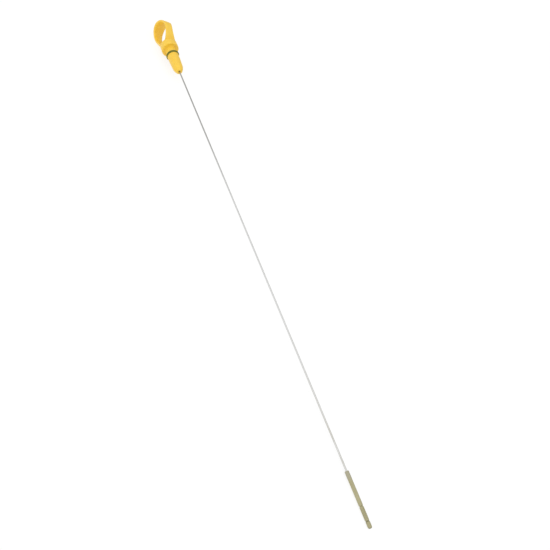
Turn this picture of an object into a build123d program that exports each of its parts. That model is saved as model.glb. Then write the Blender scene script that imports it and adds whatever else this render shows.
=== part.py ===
"""Engine oil dipstick: a moulded finger-loop handle, a seal ring, a steel wire and a moulded gauge tip.

The stick lies as it comes to rest: on one side of its finger loop and the end of its tip.
Places along the stick are measured from the underside of the flange, which seats on the dipstick tube: the tip
is on the positive side and the loop on the negative side. All sizes are in millimetres.
"""

import os
from math import asin, atan2, cos, hypot, sin

from build123d import *

# The whole stick, from the flange's seat to the end of the tip
seat_to_end = 525.0

# Flange that seats on the dipstick tube
flange_radius = 9.6
flange_thickness = 8.6
flange_chamfer = 1.1

# Plug below the flange, with its groove for the seal ring
neck_radius = 5.7
seal_position = 9.0
seal_section = 2.65
groove_depth = 1.0
groove_clearance = 0.15
land_radius = 6.25
land_length = 5.2
shoulder_step = 0.25
shoulder_length = 1.3
shoulder_chamfer = 0.15
taper_length = 10.6
taper_end_radius = 5.75
nose_length = 7.5
nose_end_radius = 3.1

# Steel wire, moulded into the plug and the tip, and the recess that it leaves the plug by
wire_radius = 0.75
wire_in_plug = 20.0
wire_end_cover = 8.0
recess_radius = 1.6
recess_depth = 1.8

# Finger loop: a wide strap, waisted half-way up, bent into a teardrop with its feet half-way down the flange
loop_height = 33.4
loop_half_width = 13.2
arch_wrap = 16.0
foot_half_width = 3.8
strap_thickness = 2.6
strap_top_width = 14.2
strap_waist_width = 8.6
strap_foot_width = 16.4
strap_chamfer = 0.7
saddle_rise = 1.0
saddle_half_width = 2.9
saddle_fillet = 1.4

# Gauge tip, with a collar at its top and a ring groove at the low and the high oil level
tip_length = 43.5
tip_radius = 1.7
tip_end_chamfer = 0.8
collar_length = 6.4
collar_step = 0.05
collar_chamfer = 0.6
mark_width = 1.0
mark_depth = 0.3
low_mark = 5.5
high_mark = 16.5

# Sizes that follow from those above: no tip edge takes more than a share of the wall that it is on
wall_share = 0.85
seal_inner_radius = neck_radius - groove_depth
shoulder_radius = land_radius + shoulder_step
collar_radius = tip_radius + collar_step
collar_chamfer = min(collar_chamfer, wall_share * (collar_radius - wire_radius))
tip_end_chamfer = min(tip_end_chamfer, wall_share * tip_radius)

# Places along the stick
loop_top = -flange_thickness - loop_height
loop_centre = loop_top + loop_half_width
waist = -flange_thickness - loop_height / 2
saddle = -flange_thickness - saddle_rise
foot = -flange_thickness / 2
groove_start = seal_position - seal_section / 2 - groove_clearance
groove_end = seal_position + seal_section / 2 + groove_clearance
shoulder_end = groove_end + shoulder_length
land_end = shoulder_end + land_length
taper_end = land_end + taper_length
plug_end = taper_end + nose_length
wire_start = plug_end - wire_in_plug
wire_end = seat_to_end - wire_end_cover
tip_start = seat_to_end - tip_length
collar_end = tip_start + collar_length

# How the stick lies: the side of the loop and the tip's end touch the floor
side_to_end = seat_to_end - tip_end_chamfer - loop_centre
slope = asin(loop_half_width / hypot(side_to_end, tip_radius)) - atan2(tip_radius, side_to_end)
axis_height = loop_half_width + loop_centre * sin(slope)

# The stick's own planes: x runs towards the tip, y up across the loop and z through its finger opening
along = Vector(cos(slope), 0, -sin(slope))
upright = Vector(sin(slope), 0, cos(slope))
sideways = Vector(0, -1, 0)
seat = Vector(-(seat_to_end + loop_top) / 2 * cos(slope), 0, axis_height)
stick = Plane(origin=seat, x_dir=along, z_dir=sideways)
edgewise = Plane(origin=seat, x_dir=along, z_dir=upright)
stick_axis = Axis(seat, along)
through = Axis(seat, sideways)

# Handle: the loop, the flange and the plug are one moulding
with BuildPart() as handle:
    # The strap's outline seen through the finger opening
    with BuildSketch(stick) as strap_outline:
        with BuildLine():
            arch = CenterArc((loop_centre, 0), loop_half_width, 90 - arch_wrap, 180 + 2 * arch_wrap)
            side = TangentArc(arch @ 0, (foot, foot_half_width), tangent=-(arch % 0))
            mirror(side, about=Plane.XZ)
            Line(side @ 1, (foot, -foot_half_width))
        make_face()
        with BuildLine():
            arch = CenterArc((loop_centre, 0), loop_half_width - strap_thickness, 90 - arch_wrap, 180 + 2 * arch_wrap)
            side = TangentArc(arch @ 0, (saddle, saddle_half_width), tangent=-(arch % 0))
            mirror(side, about=Plane.XZ)
            Line(side @ 1, (saddle, -saddle_half_width))
        make_face(mode=Mode.SUBTRACT)
        corners = strap_outline.vertices().sort_by_distance((saddle, 0))[:2]
        fillet(corners, saddle_fillet)
    extrude(amount=max(strap_top_width, strap_foot_width), both=True)
    # The strap's outline seen edgewise
    with BuildSketch(edgewise):
        with BuildLine():
            top_corner = (loop_top, strap_top_width / 2)
            waist_side = (waist, strap_waist_width / 2)
            foot_corner = (foot, strap_foot_width / 2)
            edge = ThreePointArc(foot_corner, waist_side, top_corner)
            mirror(edge, about=Plane.XZ)
            Line(edge @ 0, (foot, -strap_foot_width / 2))
            Line(edge @ 1, (loop_top, -strap_top_width / 2))
        make_face()
    extrude(amount=loop_half_width, both=True, mode=Mode.INTERSECT)
    above_foot = handle.edges().group_by(stick_axis)[:-1]
    strap_edges = [edge for group in above_foot for edge in group.filter_by(through, reverse=True)]
    chamfer(strap_edges, strap_chamfer)
    # The flange and the plug, turned about the stick's axis
    with BuildSketch(stick) as plug_outline:
        with BuildLine():
            Polyline(
                (-flange_thickness, 0),
                (-flange_thickness, flange_radius),
                (0, flange_radius),
                (0, neck_radius),
                (groove_start, neck_radius),
                (groove_start, seal_inner_radius),
                (groove_end, seal_inner_radius),
                (groove_end, shoulder_radius),
                (shoulder_end, shoulder_radius),
                (shoulder_end, land_radius),
                (land_end, land_radius),
            )
            taper = Line((land_end, land_radius), (taper_end, taper_end_radius))
            TangentArc(taper @ 1, (plug_end, nose_end_radius), tangent=taper % 1)
            Polyline(
                (plug_end, nose_end_radius),
                (plug_end, recess_radius),
                (plug_end - recess_depth, wire_radius),
                (wire_start, wire_radius),
                (wire_start, 0),
                (-flange_thickness, 0),
            )
        make_face()
        for place in (-flange_thickness, 0):
            chamfer(plug_outline.vertices().sort_by_distance((place, flange_radius))[0], flange_chamfer)
        for place in (groove_end, shoulder_end):
            chamfer(plug_outline.vertices().sort_by_distance((place, shoulder_radius))[0], shoulder_chamfer)
    revolve(axis=stick_axis)

# Seal ring, stretched into the plug's groove
with BuildPart() as seal_ring:
    with BuildSketch(stick):
        with Locations((seal_position, seal_inner_radius + seal_section / 2)):
            Circle(seal_section / 2)
    revolve(axis=stick_axis)

# Wire: one straight length from inside the plug to inside the tip
with BuildPart() as wire:
    with BuildSketch(Plane(origin=seat + along * wire_start, z_dir=along)):
        Circle(wire_radius)
    extrude(amount=wire_end - wire_start)

# Gauge tip, moulded over the end of the wire
with BuildPart() as gauge_tip:
    with BuildSketch(stick) as tip_outline:
        with BuildLine():
            Polyline(
                (tip_start, wire_radius),
                (tip_start, collar_radius),
                (collar_end, collar_radius),
                (collar_end, tip_radius),
                (seat_to_end, tip_radius),
                (seat_to_end, 0),
                (wire_end, 0),
                (wire_end, wire_radius),
                close=True,
            )
        make_face()
        for mark in (low_mark, high_mark):
            with Locations((seat_to_end - mark, tip_radius)):
                Rectangle(mark_width, 2 * mark_depth, mode=Mode.SUBTRACT)
        chamfer(tip_outline.vertices().sort_by_distance((tip_start, collar_radius))[0], collar_chamfer)
        chamfer(tip_outline.vertices().sort_by_distance((seat_to_end, tip_radius))[0], tip_end_chamfer)
    revolve(axis=stick_axis)

handle.part.label = "handle"
seal_ring.part.label = "seal_ring"
wire.part.label = "wire"
gauge_tip.part.label = "gauge_tip"

os.makedirs("parts", exist_ok=True)
export_step(handle.part, "parts/handle.step")
export_step(seal_ring.part, "parts/seal_ring.step")
export_step(wire.part, "parts/wire.step")
export_step(gauge_tip.part, "parts/gauge_tip.step")
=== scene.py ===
"""Looks of an engine oil dipstick: yellow finger-loop handle, seal ring, steel wire and khaki gauge tip."""

from cmath import phase, rect
from math import cos, exp, pi, radians, sin, sqrt, tan

import bmesh
import bpy
from mathutils import Matrix, Vector


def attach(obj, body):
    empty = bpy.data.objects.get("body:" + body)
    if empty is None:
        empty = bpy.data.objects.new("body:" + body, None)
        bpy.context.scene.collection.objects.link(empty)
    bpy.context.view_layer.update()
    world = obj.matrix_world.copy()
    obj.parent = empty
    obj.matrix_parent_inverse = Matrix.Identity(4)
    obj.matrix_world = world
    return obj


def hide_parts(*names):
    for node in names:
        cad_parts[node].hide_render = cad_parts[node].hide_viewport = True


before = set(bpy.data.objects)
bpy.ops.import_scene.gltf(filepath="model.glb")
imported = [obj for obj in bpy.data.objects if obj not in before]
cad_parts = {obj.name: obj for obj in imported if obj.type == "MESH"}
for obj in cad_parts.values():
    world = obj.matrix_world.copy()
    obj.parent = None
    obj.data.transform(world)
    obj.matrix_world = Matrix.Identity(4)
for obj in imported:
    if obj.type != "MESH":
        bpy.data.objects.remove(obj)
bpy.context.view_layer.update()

# Handle: the finger loop, the flange and the plug are one injection moulding in yellow nylon.
# It is moulded in two halves that part along the stick, with a fine eroded grain on the outside,
# and handling has polished the flange's rim and the outside of the loop.

# How the stick lies: the middle of the flange's seat in metres, the slope and the stick's own directions
mm = 0.001
seat = Vector((-0.2414478, 0.0, 0.0126011))
slope = 0.0207978
along = Vector((cos(slope), 0.0, -sin(slope)))
upright = Vector((sin(slope), 0.0, cos(slope)))
sideways = Vector((0.0, -1.0, 0.0))

# The plug and the flange, in millimetres along the stick from the flange's seat.
# A point of an outline is a complex number: its place along the stick and its distance from the axis.
flange_radius = 9.6
flange_thickness = 8.6
flange_top_round = 1.4
flange_seat_round = 1.1
neck_radius = 5.7
neck_fillet = 0.6
groove_start = 7.525
groove_end = 10.475
groove_radius = 4.7
groove_round = 0.2
shoulder_end = 11.775
shoulder_radius = 6.5
land_radius = 6.25
land_end = 16.975
taper_end = complex(27.575, 5.75)
nose_end = complex(35.075, 3.1)
nose_lip = 0.3
recess_radius = 1.6
recess_floor = 34.4
wire_radius = 0.75
wire_start = 15.075

# The finger loop: a waisted strap bent into a teardrop, whose feet run down into the flange
loop_centre = -28.8
loop_radius = 13.2
arch_wrap = radians(16)
strap_thickness = 2.6
strap_round = 0.85
strap_foot = complex(-4.3, 3.8)
saddle_side = complex(-11.6, 4.1)
strap_edge_top = complex(-42.0, 7.1)
strap_edge_waist = complex(-25.3, 4.3)
strap_edge_foot = complex(-4.3, 8.2)
foot_fillet = 0.5
mould_draft = 0.012
parting_ridge = 0.05
parting_half_width = 0.12


def on_stick(place_along, radius, angle):
    """A point given by its place along the stick, its radius and its angle, in metres in the shared frame."""
    out = upright * cos(angle) + sideways * sin(angle)
    return seat + along * (place_along * mm) + out * (radius * mm)


def tangent_arc(start, heading, end, steps):
    """Points on the arc that leaves one point of a plane in a heading and ends at another point."""
    heading = heading / abs(heading)
    chord = end - start
    normal = heading * 1j
    centre = start + normal * abs(chord) ** 2 / (2 * (chord * normal.conjugate()).real)
    turn = 2 * phase(chord / heading)
    return [centre + (start - centre) * rect(1, turn * step / steps) for step in range(steps + 1)]


def rounded_outline(corners, longest=1.0, steps=6):
    """An outline through corners, each with its own round, whose straight runs are divided."""
    line = [corners[0][0]]
    for (before, _), (corner, size), (after, _) in zip(corners, corners[1:], corners[2:]):
        if size == 0:
            line.append(corner)
            continue
        back = (before - corner) / abs(before - corner)
        ahead = (after - corner) / abs(after - corner)
        reach = size / tan(abs(phase(ahead / back)) / 2)
        line += tangent_arc(corner + back * reach, -back, corner + ahead * reach, steps)
    line.append(corners[-1][0])
    divided = [line[0]]
    for start, end in zip(line, line[1:]):
        pieces = max(1, round(abs(end - start) / longest))
        divided += [start + (end - start) * piece / pieces for piece in range(1, pieces + 1)]
    return divided


def faces_round(turns, around, closed):
    """Faces between rows of points that follow each other round, where a row is closed or open."""
    faces = []
    for turn in range(turns):
        here = turn * around
        there = (turn + 1) % turns * around
        for step in range(around if closed else around - 1):
            after = (step + 1) % around
            faces.append((here + step, here + after, there + after, there + step))
    return faces


def turned_mesh(name, outline, turns, closed=False):
    """A mesh turned about the stick's axis from an outline of places along it and radii."""
    mesh = bpy.data.meshes.new(name)
    points = []
    for turn in range(turns):
        points += [on_stick(spot.real, spot.imag, 2 * pi * turn / turns) for spot in outline]
    mesh.from_pydata(points, [], faces_round(turns, len(outline), closed))
    return mesh


def finish_mesh(mesh, sharp_degrees):
    """Merges doubles, turns the faces outwards and shades them smooth up to an angle."""
    merge_distance = 0.0002 * mm
    work = bmesh.new()
    work.from_mesh(mesh)
    bmesh.ops.remove_doubles(work, verts=work.verts, dist=merge_distance)
    bmesh.ops.recalc_face_normals(work, faces=work.faces)
    work.to_mesh(mesh)
    work.free()
    mesh.shade_smooth()
    mesh.set_sharp_from_angle(angle=radians(sharp_degrees))


def new_object(name, data):
    """Adds an object at the origin to the scene, for a mesh or for the camera's data."""
    item = bpy.data.objects.new(name, data)
    bpy.context.scene.collection.objects.link(item)
    return item


def made_mesh(item, name):
    """The plain mesh that an object's modifiers make."""
    evaluated = item.evaluated_get(bpy.context.evaluated_depsgraph_get())
    mesh = bpy.data.meshes.new_from_object(evaluated)
    mesh.name = name
    return mesh


# The plug and the flange are turned from their outline, whose corners each have a round
nose_steps = 24
plug_turns = 144
taper_start = complex(land_end, land_radius)
plug_top = [
    (complex(-flange_thickness, 0), 0),
    (complex(-flange_thickness, flange_radius), flange_top_round),
    (complex(0, flange_radius), flange_seat_round),
    (complex(0, neck_radius), neck_fillet),
    (complex(groove_start, neck_radius), groove_round),
    (complex(groove_start, groove_radius), groove_round),
    (complex(groove_end, groove_radius), groove_round),
    (complex(groove_end, shoulder_radius), groove_round),
    (complex(shoulder_end, shoulder_radius), groove_round),
    (complex(shoulder_end, land_radius), 0),
    (taper_start, 0),
    (taper_end, 0),
]
plug_bottom = [
    (nose_end, 0),
    (complex(nose_end.real, recess_radius), nose_lip),
    (complex(recess_floor, wire_radius), 0),
    (complex(wire_start, wire_radius), 0),
    (complex(wire_start, 0), 0),
]
nose_line = tangent_arc(taper_end, taper_end - taper_start, nose_end, nose_steps)
plug_outline = rounded_outline(plug_top) + nose_line[1:-1] + rounded_outline(plug_bottom)
plug_mesh = turned_mesh("handle_plug", plug_outline, plug_turns)
finish_mesh(plug_mesh, sharp_degrees=180)

# The strap is laid round the loop as a rounded section between its inner and its outer outline
side_steps = 48
arch_steps = 100
saddle_steps = 28
corner_steps = 6
parting_places = (-1.2, -0.36, -0.18, -0.09, 0.0, 0.09, 0.18, 0.36, 1.2)


def loop_outline(radius, side_end):
    """An outline of the loop in the stick's plane, from one foot round the arch to the other."""
    arch_start = pi / 2 - arch_wrap
    arch_turn = pi + 2 * arch_wrap
    arch_angles = [arch_start + arch_turn * step / arch_steps for step in range(arch_steps + 1)]
    arch = [loop_centre + rect(radius, arch_angle) for arch_angle in arch_angles]
    side = tangent_arc(arch[0], rect(1, -arch_wrap), side_end, side_steps)
    return side[::-1] + arch[1:-1] + [spot.conjugate() for spot in side]


outer_line = loop_outline(loop_radius, strap_foot)
inner_line = loop_outline(loop_radius - strap_thickness, saddle_side)
saddle_heading = inner_line[-1] - inner_line[-2]
saddle_line = tangent_arc(saddle_side.conjugate(), saddle_heading, saddle_side, saddle_steps)
inner_line += saddle_line[1:-1]
for step in range(1, saddle_steps):
    outer_line.append(strap_foot.conjugate() + 2j * strap_foot.imag * step / saddle_steps)

# Seen edgewise, each side of the strap is the arc through its top, its waist and its foot
edge_chord = strap_edge_waist - strap_edge_top
edge_share = (strap_edge_foot - strap_edge_top) / edge_chord
edge_turn = (edge_share - abs(edge_share) ** 2) / (2j * edge_share.imag)
edge_centre = strap_edge_top + edge_chord * edge_turn
edge_radius = abs(strap_edge_top - edge_centre)


def foot_flare(place_along, radius):
    """How far the strap's outside spreads as it runs into the flange, and less near the flange's rim."""
    spread = foot_fillet - min(foot_fillet, max(0.0, -flange_thickness - place_along))
    rim_share = (flange_radius - flange_top_round - radius) / flange_top_round
    return (foot_fillet - sqrt(foot_fillet**2 - spread**2)) * min(1.0, max(0.0, rim_share))


def half_width(place_along):
    """Half the strap's width at a place along the stick."""
    return edge_centre.imag - sqrt(edge_radius**2 - (place_along - edge_centre.real) ** 2)


# A point of the section: the side of the thickness that it is on and its share of the corner's round there,
# the same for the width, and its place across a flat face
section = []
for quarter in range(4):
    thick_side = 1 if quarter in (0, 3) else -1
    wide_side = 1 if quarter in (0, 1) else -1
    for step in range(corner_steps + 1):
        corner_angle = pi / 2 * (quarter + step / corner_steps)
        section.append((thick_side, cos(corner_angle), wide_side, sin(corner_angle), 0.0))
    if quarter == 1:
        section += [(-1, -1.0, 0, 0.0, place) for place in parting_places[::-1]]
    if quarter == 3:
        section += [(1, 1.0, 0, 0.0, place) for place in parting_places]

strap_points = []
turns = len(outer_line)
for turn in range(turns):
    across = outer_line[turn] - inner_line[turn]
    thick = abs(across)
    for thick_side, thick_round, wide_side, wide_round, face_place in section:
        depth = thick / 2 + thick_side * (thick / 2 - strap_round) + thick_round * strap_round
        spot = inner_line[turn] + across * (depth / thick)
        wide = wide_side * (half_width(spot.real) - strap_round) + wide_round * strap_round + face_place
        relief = parting_ridge * (1 - exp(-((wide / parting_half_width) ** 2))) + mould_draft * abs(wide)
        if thick_side > 0:
            relief -= foot_flare(spot.real, abs(complex(spot.imag, wide)))
        spot -= across / thick * thick_side * relief
        strap_points.append(seat + (along * spot.real + upright * spot.imag + sideways * wide) * mm)
strap_mesh = bpy.data.meshes.new("handle_strap")
strap_mesh.from_pydata(strap_points, [], faces_round(turns, len(section), closed=True))
finish_mesh(strap_mesh, sharp_degrees=180)

# One moulding: the strap and the plug are joined, and the surfaces inside are removed
handle_plug = new_object("handle_plug", plug_mesh)
handle_strap = new_object("handle_strap", strap_mesh)
joining = handle_plug.modifiers.new("joining", "BOOLEAN")
joining.operation = "UNION"
joining.solver = "EXACT"
joining.object = handle_strap
handle_mesh = made_mesh(handle_plug, "handle_moulded")
bpy.data.objects.remove(handle_plug)
bpy.data.objects.remove(handle_strap)
finish_mesh(handle_mesh, sharp_degrees=38)


def wire_up(tree, *links):
    """Joins pairs of sockets in a tree."""
    for source, target in links:
        tree.links.new(source, target)


def feed(tree, socket, value):
    """Links a socket to another node's output, or sets its value."""
    if isinstance(value, bpy.types.NodeSocket):
        tree.links.new(value, socket)
    else:
        socket.default_value = value


def math_node(tree, operation, *values):
    """Adds a Math node and gives back its output."""
    node = tree.nodes.new("ShaderNodeMath")
    node.operation = operation
    for socket, value in zip(node.inputs, values):
        feed(tree, socket, value)
    return node.outputs[0]


def ramp_node(tree, value, start, end, low=0.0, high=1.0, smooth=True):
    """Adds a clamped Map Range node, smooth or straight, and gives back its output."""
    node = tree.nodes.new("ShaderNodeMapRange")
    node.interpolation_type = "SMOOTHSTEP" if smooth else "LINEAR"
    settings = {"Value": value, "From Min": start, "From Max": end, "To Min": low, "To Max": high}
    for label, setting in settings.items():
        feed(tree, node.inputs[label], setting)
    return node.outputs["Result"]


def noise_node(tree, place, scale, detail=2.0, stretch=(1.0, 1.0, 1.0)):
    """Adds a noise of so many waves a millimetre, stretched by a Mapping node, and gives back its value."""
    mapping = tree.nodes.new("ShaderNodeMapping")
    mapping.inputs["Scale"].default_value = stretch
    noise = tree.nodes.new("ShaderNodeTexNoise")
    noise.inputs["Scale"].default_value = scale
    noise.inputs["Detail"].default_value = detail
    wire_up(tree, (place, mapping.inputs["Vector"]), (mapping.outputs["Vector"], noise.inputs["Vector"]))
    return noise.outputs["Fac"]


def mix_node(tree, share, first, second):
    """Adds a Mix node between two colours and gives back its colour."""
    node = tree.nodes.new("ShaderNodeMix")
    node.data_type = "RGBA"
    # The node has sockets of the same names for each kind of data, so those for colours go by number
    feed(tree, node.inputs[0], share)
    feed(tree, node.inputs[6], first)
    feed(tree, node.inputs[7], second)
    return node.outputs[2]


def new_group(name, inputs, outputs):
    """Makes a shader node group with named sockets and gives back its tree, its input and its output node."""
    tree = bpy.data.node_groups.new(name, "ShaderNodeTree")
    for label, kind, value in inputs:
        socket = tree.interface.new_socket(name=label, in_out="INPUT", socket_type=kind)
        if value is not None:
            socket.default_value = value
    for label, kind in outputs:
        tree.interface.new_socket(name=label, in_out="OUTPUT", socket_type=kind)
    return tree, tree.nodes.new("NodeGroupInput"), tree.nodes.new("NodeGroupOutput")


# The place on the stick, in millimetres from the flange's seat, that every finish below is laid out by
stick_place, _, place_out = new_group(
    "stick_place",
    [],
    [("Place", "NodeSocketVector"), ("Along", "NodeSocketFloat"), ("Radius", "NodeSocketFloat")],
)
object_place = stick_place.nodes.new("ShaderNodeTexCoord")
to_stick = stick_place.nodes.new("ShaderNodeMapping")
to_stick.vector_type = "TEXTURE"
to_stick.inputs["Location"].default_value = seat
to_stick.inputs["Rotation"].default_value = (0.0, slope, 0.0)
to_stick.inputs["Scale"].default_value = (mm, mm, mm)
apart = stick_place.nodes.new("ShaderNodeSeparateXYZ")
across_squared = math_node(stick_place, "MULTIPLY", apart.outputs["Y"], apart.outputs["Y"])
up_squared = math_node(stick_place, "MULTIPLY", apart.outputs["Z"], apart.outputs["Z"])
radius_squared = math_node(stick_place, "ADD", across_squared, up_squared)
wire_up(
    stick_place,
    (object_place.outputs["Object"], to_stick.inputs["Vector"]),
    (to_stick.outputs["Vector"], apart.inputs["Vector"]),
    (to_stick.outputs["Vector"], place_out.inputs["Place"]),
    (apart.outputs["X"], place_out.inputs["Along"]),
    (math_node(stick_place, "SQRT", radius_squared), place_out.inputs["Radius"]),
)

# Moulded skin: cloudy colour, a fine eroded grain and faint flow streaks, as moulded plastic and rubber have
moulded_skin, skin_in, skin_out = new_group(
    "moulded_skin",
    [
        ("Place", "NodeSocketVector", None),
        ("Colour", "NodeSocketColor", (0.8, 0.8, 0.8, 1.0)),
        ("Deep Colour", "NodeSocketColor", (0.5, 0.5, 0.5, 1.0)),
        ("Cloud Size", "NodeSocketFloat", 6.0),
        ("Grain Size", "NodeSocketFloat", 0.25),
        ("Roughness", "NodeSocketFloat", 0.4),
        ("Roughness Spread", "NodeSocketFloat", 0.1),
    ],
    [("Colour", "NodeSocketColor"), ("Roughness", "NodeSocketFloat"), ("Height", "NodeSocketFloat")],
)
cloud = moulded_skin.nodes.new("ShaderNodeTexNoise")
cloud.inputs["Detail"].default_value = 3.0
grain = moulded_skin.nodes.new("ShaderNodeTexNoise")
grain.inputs["Detail"].default_value = 1.0
flow = noise_node(moulded_skin, skin_in.outputs["Place"], scale=0.9, stretch=(0.12, 1.0, 1.0))
cloud_and_flow = math_node(moulded_skin, "ADD", cloud.outputs["Fac"], flow)
cloudy = ramp_node(moulded_skin, cloud_and_flow, start=0.75, end=1.25)
cloudy_colour = mix_node(moulded_skin, cloudy, skin_in.outputs["Deep Colour"], skin_in.outputs["Colour"])
grain_rough = math_node(moulded_skin, "MULTIPLY", grain.outputs["Fac"], skin_in.outputs["Roughness Spread"])
skin_rough = math_node(moulded_skin, "ADD", grain_rough, skin_in.outputs["Roughness"])
wire_up(
    moulded_skin,
    (skin_in.outputs["Place"], cloud.inputs["Vector"]),
    (skin_in.outputs["Place"], grain.inputs["Vector"]),
    (math_node(moulded_skin, "DIVIDE", 1.0, skin_in.outputs["Cloud Size"]), cloud.inputs["Scale"]),
    (math_node(moulded_skin, "DIVIDE", 1.0, skin_in.outputs["Grain Size"]), grain.inputs["Scale"]),
    (cloudy_colour, skin_out.inputs["Colour"]),
    (skin_rough, skin_out.inputs["Roughness"]),
    (grain.outputs["Fac"], skin_out.inputs["Height"]),
)

# Moulding seam: a mask for the fine line where two halves of a mould met, at one value of a coordinate
moulding_seam, seam_in, seam_out = new_group(
    "moulding_seam",
    [("Coordinate", "NodeSocketFloat", 0.0), ("Half Width", "NodeSocketFloat", 0.1)],
    [("Mask", "NodeSocketFloat")],
)
off_seam = math_node(moulding_seam, "ABSOLUTE", seam_in.outputs["Coordinate"])
off_seam = math_node(moulding_seam, "DIVIDE", off_seam, seam_in.outputs["Half Width"])
seam_mask = ramp_node(moulding_seam, off_seam, start=0.3, end=1.0, low=1.0, high=0.0)
wire_up(moulding_seam, (seam_mask, seam_out.inputs["Mask"]))


def new_finish(name):
    """Makes a material with one Principled shader and the stick's place in it."""
    material = bpy.data.materials.new(name)
    material.use_nodes = True
    tree = material.node_tree
    shader = tree.nodes["Principled BSDF"]
    place = tree.nodes.new("ShaderNodeGroup")
    place.node_tree = stick_place
    return material, tree, shader, place


def add_group(tree, group, **values):
    """Places a shader node group in a material with its own values or links."""
    node = tree.nodes.new("ShaderNodeGroup")
    node.node_tree = group
    for label, value in values.items():
        feed(tree, node.inputs[label.replace("_", " ")], value)
    return node


def add_bump(tree, shader, height, distance, strength):
    """Feeds a height through a Bump node to the shader's normal."""
    bump = tree.nodes.new("ShaderNodeBump")
    bump.inputs["Distance"].default_value = distance
    bump.inputs["Strength"].default_value = strength
    wire_up(tree, (height, bump.inputs["Height"]), (bump.outputs["Normal"], shader.inputs["Normal"]))


yellow = (0.88, 0.565, 0.05, 1.0)
yellow_deep = (0.865, 0.545, 0.046, 1.0)
yellow_worn = (0.89, 0.585, 0.062, 1.0)
wear_start = 9.0
wear_full = 9.7
wear_polish = 0.1
seam_rise = 2.5

yellow_nylon, tree, shader, place = new_finish("yellow_nylon")
skin = add_group(
    tree,
    moulded_skin,
    Place=place.outputs["Place"],
    Colour=yellow,
    Deep_Colour=yellow_deep,
    Cloud_Size=9.0,
    Grain_Size=0.3,
    Roughness=0.30,
    Roughness_Spread=0.16,
)
place_apart = tree.nodes.new("ShaderNodeSeparateXYZ")
wire_up(tree, (place.outputs["Place"], place_apart.inputs["Vector"]))
seam = add_group(tree, moulding_seam, Coordinate=place_apart.outputs["Y"], Half_Width=0.14)
rim_wear = ramp_node(tree, place.outputs["Radius"], wear_start, wear_full)
patches = noise_node(tree, place.outputs["Place"], scale=0.5)
worn = math_node(tree, "MULTIPLY", rim_wear, ramp_node(tree, patches, start=0.3, end=0.7))
worn_colour = mix_node(tree, worn, skin.outputs["Colour"], yellow_worn)
polish = math_node(tree, "MULTIPLY", worn, wear_polish)
worn_rough = math_node(tree, "SUBTRACT", skin.outputs["Roughness"], polish)
seam_height = math_node(tree, "MULTIPLY", seam.outputs["Mask"], seam_rise)
skin_height = math_node(tree, "ADD", skin.outputs["Height"], seam_height)
wire_up(tree, (worn_colour, shader.inputs["Base Color"]), (worn_rough, shader.inputs["Roughness"]))
add_bump(tree, shader, skin_height, distance=0.02 * mm, strength=0.6)
shader.inputs["IOR"].default_value = 1.5

handle = new_object("handle_moulded", handle_mesh)
handle_mesh.materials.clear()
handle_mesh.materials.append(yellow_nylon)
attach(handle, "root")
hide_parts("handle")

# Seal ring: a rubber O-ring in dark olive green, stretched into the groove below the flange.
# It is moulded in two halves, and a hair of flash stands round its outside where they met.
ring_position = 9.0
ring_radius = 6.025
ring_half_height = 1.325
ring_half_width = 1.4
flash_height = 0.05
flash_half_width = 0.09
ring_steps = 48
ring_turns = 240
olive = (0.155, 0.158, 0.012, 1.0)
olive_deep = (0.127, 0.13, 0.01, 1.0)

ring_outline = []
for step in range(ring_steps):
    ring_angle = 2 * pi * step / ring_steps
    offset = ring_half_width * sin(ring_angle)
    height = ring_half_height * cos(ring_angle)
    if cos(ring_angle) > 0:
        height -= flash_height * min(1.0, (offset / flash_half_width) ** 2)
    ring_outline.append(complex(ring_position + offset, ring_radius + height))
ring_mesh = turned_mesh("seal_ring_moulded", ring_outline, ring_turns, closed=True)
finish_mesh(ring_mesh, sharp_degrees=60)

olive_rubber, tree, shader, place = new_finish("olive_rubber")
skin = add_group(
    tree,
    moulded_skin,
    Place=place.outputs["Place"],
    Colour=olive,
    Deep_Colour=olive_deep,
    Cloud_Size=2.5,
    Grain_Size=0.18,
    Roughness=0.46,
    Roughness_Spread=0.2,
)
wire_up(
    tree,
    (skin.outputs["Colour"], shader.inputs["Base Color"]),
    (skin.outputs["Roughness"], shader.inputs["Roughness"]),
)
add_bump(tree, shader, skin.outputs["Height"], distance=0.015 * mm, strength=0.5)
shader.inputs["Specular IOR Level"].default_value = 0.3

seal_ring = new_object("seal_ring_moulded", ring_mesh)
ring_mesh.materials.append(olive_rubber)
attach(seal_ring, "root")
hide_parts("seal_ring")

# Wire: one straight length of drawn spring steel, moulded into the plug at one end and the tip at the other.
# Drawing through a die leaves fine lines along it. Below the plug its colour is darkened as a painted darker
# reflection, fading out further down, and old oil leaves a faint brown film near the tip.
steel_grey = (0.57, 0.57, 0.56, 1.0)
steel_bright = (0.73, 0.73, 0.72, 1.0)
# Painted darker reflection: the darker steel colour used from the plug down, not a finish of the steel
steel_dark_reflection = (0.375, 0.37, 0.355, 1.0)
film_brown = (0.44, 0.41, 0.33, 1.0)
steel_roughness = 0.22
line_roughness = 0.2
# Where the painted darker reflection near the plug is full, where it has faded out, and how strong it is
dark_reflection_until = 105
dark_reflection_fade_end = 225
dark_reflection_strength = 0.8
film_start = 330
film_full = 480
film_share = 0.5

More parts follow.
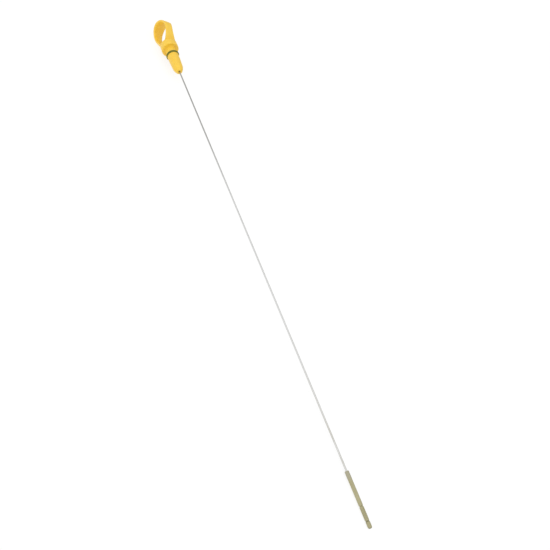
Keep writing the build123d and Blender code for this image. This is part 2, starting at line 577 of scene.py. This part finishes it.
drawn_steel, tree, shader, place = new_finish("drawn_steel")
lines = noise_node(tree, place.outputs["Place"], scale=9.0, detail=3.0, stretch=(0.02, 1.0, 1.0))
stains = noise_node(tree, place.outputs["Place"], scale=0.05, detail=4.0, stretch=(1.0, 4.0, 4.0))
stained = ramp_node(tree, stains, start=0.3, end=0.7)
near_tip = ramp_node(tree, place.outputs["Along"], film_start, film_full)
film = math_node(tree, "MULTIPLY", math_node(tree, "MULTIPLY", stained, near_tip), film_share)
# Painted darker reflection: the steel's colour is darkened from the plug down, fading out further along the
# wire
dark_reflection_near_plug = ramp_node(tree, place.outputs["Along"], dark_reflection_until, dark_reflection_fade_end, low=1.0, high=0.0)
painted_dark_reflection = math_node(tree, "MULTIPLY", dark_reflection_near_plug, dark_reflection_strength)
steel_colour = mix_node(tree, lines, steel_grey, steel_bright)
steel_colour = mix_node(tree, painted_dark_reflection, steel_colour, steel_dark_reflection)
steel_colour = mix_node(tree, film, steel_colour, film_brown)
line_rough = math_node(tree, "MULTIPLY", lines, line_roughness)
steel_rough = math_node(tree, "ADD", line_rough, steel_roughness)
wire_up(tree, (steel_colour, shader.inputs["Base Color"]), (steel_rough, shader.inputs["Roughness"]))
add_bump(tree, shader, lines, distance=0.01 * mm, strength=0.4)
shader.inputs["Metallic"].default_value = 1.0

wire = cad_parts["wire"]
wire.data.materials.clear()
wire.data.materials.append(drawn_steel)

# Gauge tip: khaki plastic moulded over the end of the wire, with a collar at its top and a rounded end.
# A ring groove marks the low and the high oil level, and cross-hatching between them holds the oil film.
tip_sizes = {
    "Start": 481.5,
    "Length": 43.5,
    "Radius": 1.7,
    "Collar Length": 6.4,
    "Collar Step": 0.05,
    "Top Round": 0.7,
    "End Round": 1.35,
    "Wire Radius": wire_radius,
    "Wire End Cover": 8.0,
    "Low Mark": 5.5,
    "High Mark": 16.5,
    "Mark Width": 1.0,
    "Mark Depth": 0.3,
    "Hatch Pitch": 1.15,
    "Hatch Starts": 10.0,
    "Hatch Depth": 0.13,
}
mark_floor_share = 0.38
hatch_fade = 0.3
cut_floor = 0.04
cut_edge = 0.17
tip_rows = 401
tip_columns = 145
grid_side = 1.0
closing_distance = 0.0005

tip_tree = bpy.data.node_groups.new("gauge_tip_shape", "GeometryNodeTree")
tip_keys = {}
for label in tip_sizes:
    socket = tip_tree.interface.new_socket(name=label, in_out="INPUT", socket_type="NodeSocketFloat")
    tip_keys[label] = socket.identifier
finish_socket = tip_tree.interface.new_socket(name="Finish", in_out="INPUT", socket_type="NodeSocketMaterial")
tip_tree.interface.new_socket(name="Mesh", in_out="OUTPUT", socket_type="NodeSocketGeometry")
tip_in = tip_tree.nodes.new("NodeGroupInput")
tip_out = tip_tree.nodes.new("NodeGroupOutput")
size = {label: tip_in.outputs[label] for label in tip_sizes}


def tip_math(operation, *values):
    """A Math node in the tip's tree."""
    return math_node(tip_tree, operation, *values)


def tip_times(first, second):
    """The product of two values in the tip's tree."""
    return tip_math("MULTIPLY", first, second)


def tip_sum(first, *others):
    """The sum of several values in the tip's tree."""
    for other in others:
        first = tip_math("ADD", first, other)
    return first


def tip_less(first, *others):
    """A value less several others in the tip's tree."""
    for other in others:
        first = tip_math("SUBTRACT", first, other)
    return first


def tip_ramp(value, start, end, low=0.0, high=1.0, smooth=False):
    """A clamped Map Range node in the tip's tree."""
    return ramp_node(tip_tree, value, start, end, low, high, smooth)


# A flat grid is the sheet that gets wrapped: one side runs down the outline and the other round the stick
grid = tip_tree.nodes.new("GeometryNodeMeshGrid")
grid.inputs["Size X"].default_value = grid_side
grid.inputs["Size Y"].default_value = grid_side
grid.inputs["Vertices X"].default_value = tip_rows
grid.inputs["Vertices Y"].default_value = tip_columns
grid_place = tip_tree.nodes.new("GeometryNodeInputPosition")
grid_apart = tip_tree.nodes.new("ShaderNodeSeparateXYZ")
wire_up(tip_tree, (grid_place.outputs["Position"], grid_apart.inputs["Vector"]))
down = tip_sum(grid_apart.outputs["X"], grid_side / 2)
angle = tip_times(tip_sum(grid_apart.outputs["Y"], grid_side / 2), 2 * pi)

# Each stretch of the outline takes some of the grid's rows, from the wire's end inside to the tip's end.
# It goes from 0 to 1 over its rows, whose last one lies at this share of the sheet.
row_ends = {
    "bore floor": 0.01,
    "bore wall": 0.02,
    "top face": 0.03,
    "top round": 0.06,
    "collar": 0.12,
    "collar step": 0.125,
    "upper body": 0.275,
    "marked body": 0.9,
    "lower body": 0.94,
    "end round": 0.99,
    "end face": 1.0,
}
stretch = {}
row_start = 0.0
for label, row_end in row_ends.items():
    stretch[label] = tip_ramp(down, row_start, row_end)
    row_start = row_end
top_turn = tip_times(stretch["top round"], pi / 2)
end_turn = tip_times(stretch["end round"], pi / 2)

marked_start = tip_less(size["Length"], size["High Mark"], size["Mark Width"])
marked_end = tip_sum(tip_less(size["Length"], size["Low Mark"]), size["Mark Width"])
round_start = tip_less(size["Length"], size["End Round"])
bore_depth = tip_less(size["Length"], size["Wire End Cover"])
tip_along = tip_sum(
    tip_times(bore_depth, tip_less(1.0, stretch["bore wall"])),
    tip_times(size["Top Round"], tip_less(1.0, tip_math("COSINE", top_turn))),
    tip_times(tip_less(size["Collar Length"], size["Top Round"]), stretch["collar"]),
    tip_times(tip_less(marked_start, size["Collar Length"]), stretch["upper body"]),
    tip_times(tip_less(marked_end, marked_start), stretch["marked body"]),
    tip_times(tip_less(round_start, marked_end), stretch["lower body"]),
    tip_times(size["End Round"], tip_math("SINE", end_turn)),
)
collar_radius = tip_sum(size["Radius"], size["Collar Step"])
top_flat = tip_less(collar_radius, size["Top Round"], size["Wire Radius"])
end_flat = tip_less(size["Radius"], size["End Round"])
out_to_collar = tip_sum(
    tip_times(size["Wire Radius"], stretch["bore floor"]),
    tip_times(top_flat, stretch["top face"]),
    tip_times(size["Top Round"], tip_math("SINE", top_turn)),
)
plain_radius = tip_less(
    out_to_collar,
    tip_times(size["Collar Step"], stretch["collar step"]),
    tip_times(size["End Round"], tip_less(1.0, tip_math("COSINE", end_turn))),
    tip_times(end_flat, stretch["end face"]),
)

# The two ring marks and the cross-hatching are cut into the wrapped sheet
from_end = tip_less(size["Length"], tip_along)
half_mark = tip_times(size["Mark Width"], 0.5)
half_floor = tip_times(size["Mark Width"], mark_floor_share)
marks = []
for label in ("Low Mark", "High Mark"):
    off_mark = tip_math("ABSOLUTE", tip_less(from_end, size[label]))
    marks.append(tip_ramp(off_mark, half_floor, half_mark, low=1.0, high=0.0))
hatch_low = tip_sum(size["Low Mark"], size["Mark Width"])
hatch_high = tip_less(size["High Mark"], size["Mark Width"])
past_low = tip_ramp(from_end, hatch_low, tip_sum(hatch_low, hatch_fade))
below_high = tip_ramp(from_end, tip_less(hatch_high, hatch_fade), hatch_high, low=1.0, high=0.0)
rise = tip_math("DIVIDE", from_end, size["Hatch Pitch"])
wind = tip_times(size["Hatch Starts"], tip_math("DIVIDE", angle, 2 * pi))
cuts = []
for helix in (tip_sum(rise, wind), tip_less(rise, wind)):
    off_cut = tip_math("ABSOLUTE", tip_less(tip_math("FRACT", helix), 0.5))
    cuts.append(tip_ramp(off_cut, cut_floor, cut_edge, low=1.0, high=0.0, smooth=True))
hatch = tip_times(tip_math("MAXIMUM", *cuts), tip_times(past_low, below_high))
mark_depth = tip_times(tip_sum(*marks), size["Mark Depth"])
hatch_depth = tip_times(hatch, size["Hatch Depth"])
outside = tip_math("GREATER_THAN", down, row_ends["collar step"])
tip_radius = tip_less(plain_radius, tip_times(tip_sum(mark_depth, hatch_depth), outside))

# Wrap the sheet round the stick, close its seam and its poles, and carry it to the stick's end
wrapped = tip_tree.nodes.new("ShaderNodeCombineXYZ")
wrap = tip_tree.nodes.new("GeometryNodeSetPosition")
close = tip_tree.nodes.new("GeometryNodeMergeByDistance")
close.inputs["Distance"].default_value = closing_distance
carry = tip_tree.nodes.new("GeometryNodeTransform")
carry.inputs["Translation"].default_value = seat
carry.inputs["Rotation"].default_value = (0.0, slope, 0.0)
carry.inputs["Scale"].default_value = (mm, mm, mm)
realize = tip_tree.nodes.new("GeometryNodeRealizeInstances")
set_finish = tip_tree.nodes.new("GeometryNodeSetMaterial")
wire_up(
    tip_tree,
    (tip_sum(size["Start"], tip_along), wrapped.inputs["X"]),
    (tip_times(tip_radius, tip_math("COSINE", angle)), wrapped.inputs["Y"]),
    (tip_times(tip_radius, tip_math("SINE", angle)), wrapped.inputs["Z"]),
    (grid.outputs["Mesh"], wrap.inputs["Geometry"]),
    (wrapped.outputs["Vector"], wrap.inputs["Position"]),
    (wrap.outputs["Geometry"], close.inputs["Geometry"]),
    (close.outputs["Geometry"], carry.inputs["Geometry"]),
    (carry.outputs["Geometry"], realize.inputs["Geometry"]),
    (realize.outputs["Geometry"], set_finish.inputs["Geometry"]),
    (tip_in.outputs["Finish"], set_finish.inputs["Material"]),
    (set_finish.outputs["Geometry"], tip_out.inputs["Mesh"]),
)

# The tip's finish: greyer at the collar, darkened by oil in the cuts and below the low mark, and with painted
# shade in the low mark's groove
khaki = (0.425, 0.393, 0.232, 1.0)
khaki_deep = (0.382, 0.35, 0.2, 1.0)
khaki_oily = (0.325, 0.298, 0.162, 1.0)
khaki_grey = (0.385, 0.362, 0.25, 1.0)
# Painted shade: the dark colour laid into the low mark's groove
low_mark_painted_shade = (0.13, 0.115, 0.06, 1.0)
oil_share = 0.9
oil_gloss = 0.12
dipped_share = 0.6
tip_start = tip_sizes["Start"]
tip_end = tip_start + tip_sizes["Length"]
grey_until = tip_start + 4.0
khaki_from = tip_start + 9.0
oil_start = tip_end - 18.0
oil_full = tip_end - 16.5
dip_start = tip_end - 7.0
dip_full = tip_end - 5.0
cut_deep_radius = tip_sizes["Radius"] - 0.12
cut_shallow_radius = tip_sizes["Radius"] - 0.02
mark_deep_radius = tip_sizes["Radius"] - 0.28
mark_shallow_radius = tip_sizes["Radius"] - 0.16

khaki_plastic, tree, shader, place = new_finish("khaki_plastic")
skin = add_group(
    tree,
    moulded_skin,
    Place=place.outputs["Place"],
    Colour=khaki,
    Deep_Colour=khaki_deep,
    Cloud_Size=4.0,
    Grain_Size=0.16,
    Roughness=0.34,
    Roughness_Spread=0.2,
)
at_collar = ramp_node(tree, place.outputs["Along"], grey_until, khaki_from, low=1.0, high=0.0)
near_marks = ramp_node(tree, place.outputs["Along"], oil_start, oil_full)
in_cut = ramp_node(tree, place.outputs["Radius"], cut_deep_radius, cut_shallow_radius, low=1.0, high=0.0)
in_mark = ramp_node(tree, place.outputs["Radius"], mark_deep_radius, mark_shallow_radius, low=1.0, high=0.0)
below_low = ramp_node(tree, place.outputs["Along"], dip_start, dip_full)
dipped = math_node(tree, "MULTIPLY", below_low, dipped_share)
oily = math_node(tree, "MAXIMUM", math_node(tree, "MULTIPLY", in_cut, near_marks), dipped)
tip_colour = mix_node(tree, at_collar, skin.outputs["Colour"], khaki_grey)
tip_colour = mix_node(tree, math_node(tree, "MULTIPLY", oily, oil_share), tip_colour, khaki_oily)
# Painted shade: the low mark's groove is darkened further to stand for the shade inside it
tip_colour = mix_node(tree, math_node(tree, "MULTIPLY", in_mark, dipped), tip_colour, low_mark_painted_shade)
gloss = math_node(tree, "MULTIPLY", oily, oil_gloss)
tip_rough = math_node(tree, "SUBTRACT", skin.outputs["Roughness"], gloss)
wire_up(tree, (tip_colour, shader.inputs["Base Color"]), (tip_rough, shader.inputs["Roughness"]))
add_bump(tree, shader, skin.outputs["Height"], distance=0.015 * mm, strength=0.5)
shader.inputs["Specular IOR Level"].default_value = 0.3

holder = new_object("gauge_tip_holder", bpy.data.meshes.new("gauge_tip_holder"))
modifier = holder.modifiers.new("gauge_tip_shape", "NODES")
modifier.node_group = tip_tree
for label, value in tip_sizes.items():
    modifier[tip_keys[label]] = value
modifier[finish_socket.identifier] = khaki_plastic
tip_mesh = made_mesh(holder, "gauge_tip_hatched")
holder.modifiers.remove(modifier)
bpy.data.objects.remove(holder)
finish_mesh(tip_mesh, sharp_degrees=50)
gauge_tip = new_object("gauge_tip_hatched", tip_mesh)
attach(gauge_tip, "root")
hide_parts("gauge_tip")

# Floor: a plain white panel that the dipstick lies on, as product tables have.
# It is an opal sheet lit evenly from below, so that it stays white and the shadows on it stay faint.
floor_half = 60.0
floor_corners = [(x * floor_half, y * floor_half, 0) for x, y in ((-1, -1), (1, -1), (1, 1), (-1, 1))]
floor_mesh = bpy.data.meshes.new("studio_floor")
floor_mesh.from_pydata(floor_corners, [], [(0, 1, 2, 3)])
floor = new_object("studio_floor", floor_mesh)
opal_sheet = bpy.data.materials.new("opal_sheet")
opal_sheet.use_nodes = True
sheet = opal_sheet.node_tree.nodes["Principled BSDF"]
sheet.inputs["Base Color"].default_value = (0.2, 0.2, 0.2, 1.0)
sheet.inputs["Roughness"].default_value = 0.9
sheet.inputs["Specular IOR Level"].default_value = 0.0
sheet.inputs["Emission Color"].default_value = (1.0, 1.0, 1.0, 1.0)
sheet.inputs["Emission Strength"].default_value = 0.82
floor_mesh.materials.append(opal_sheet)

# Studio light: a soft white dome, brightest high up on the side that the photograph is taken from.
# The difference between that side and the others shapes the round pieces.
# Where the dome itself is seen, behind the dipstick, it is an even white.
dome_bright = 1.4
dome_dim = 0.5
dome_shown = 1.0
bright_side = Vector((0.25, -0.45, 0.86))
world = bpy.data.worlds.new("studio_dome")
world.use_nodes = True
dome_tree = world.node_tree
dome = dome_tree.nodes["Background"]
dome.inputs["Color"].default_value = (1.0, 1.0, 1.0, 1.0)
dome_place = dome_tree.nodes.new("ShaderNodeTexCoord")
toward_bright = dome_tree.nodes.new("ShaderNodeVectorMath")
toward_bright.operation = "DOT_PRODUCT"
toward_bright.inputs[1].default_value = bright_side
facing = toward_bright.outputs["Value"]
seen = dome_tree.nodes.new("ShaderNodeLightPath").outputs["Is Camera Ray"]
dome_light = ramp_node(dome_tree, facing, 0.0, 1.0, low=dome_dim, high=dome_bright, smooth=False)
dome_strength = ramp_node(dome_tree, seen, 0.0, 1.0, low=dome_light, high=dome_shown)
wire_up(
    dome_tree,
    (dome_place.outputs["Generated"], toward_bright.inputs[0]),
    (dome_strength, dome.inputs["Strength"]),
)
bpy.context.scene.world = world
bpy.context.scene.view_settings.view_transform = "Standard"

# Camera: placed so that the nose's end and the tip's end fall where the photograph shows them.
# The two pixels, the ratio of their distances and the turn about the stick fix its place and its direction.
picture_width = 550
picture_centre = 274.5
focal_pixels = 560.0
nose_pixel = (179.06, 71.37)
tip_pixel = (370.05, 528.1)
distance_ratio = 1.48
turn_about_stick = radians(43.8)
sensor_width = 36.0
nearest_seen = 0.01


def line_of_sight(pixel):
    """The direction to a pixel, with x to the right, y down and z forwards."""
    right = (pixel[0] - picture_centre) / focal_pixels
    below = (pixel[1] - picture_centre) / focal_pixels
    return Vector((right, below, 1.0))


nose_sight = line_of_sight(nose_pixel)
tip_sight = line_of_sight(tip_pixel) / distance_ratio
nose_distance = (tip_end - nose_end.real) * mm / (tip_sight - nose_sight).length
seen_along = (tip_sight - nose_sight).normalized()
seen_right = seen_along.cross(nose_sight).normalized()
if seen_right.x < 0:
    seen_right.negate()
seen_near = (seen_along * seen_along.dot(nose_sight) - nose_sight).normalized()
seen_upright = seen_right * cos(turn_about_stick) + seen_near * sin(turn_about_stick)
seen_sideways = seen_near * cos(turn_about_stick) - seen_right * sin(turn_about_stick)


def to_world(sight):
    """Turns a direction from the camera's sight into the shared frame."""
    in_plane = along * sight.dot(seen_along) + upright * sight.dot(seen_upright)
    return in_plane + sideways * sight.dot(seen_sideways)


camera_data = bpy.data.cameras.new("photo_camera")
camera_data.sensor_fit = "HORIZONTAL"
camera_data.sensor_width = sensor_width
camera_data.lens = focal_pixels / picture_width * sensor_width
camera_data.clip_start = nearest_seen
camera = new_object("photo_camera", camera_data)
camera_right = to_world(Vector((1, 0, 0)))
camera_up = to_world(Vector((0, -1, 0)))
camera_back = to_world(Vector((0, 0, -1)))
camera_place = on_stick(nose_end.real, 0.0, 0.0) - to_world(nose_sight * nose_distance)
camera_turn = Matrix((camera_right, camera_up, camera_back)).transposed()
camera.matrix_world = Matrix.Translation(camera_place) @ camera_turn.to_4x4()
bpy.context.scene.camera = camera
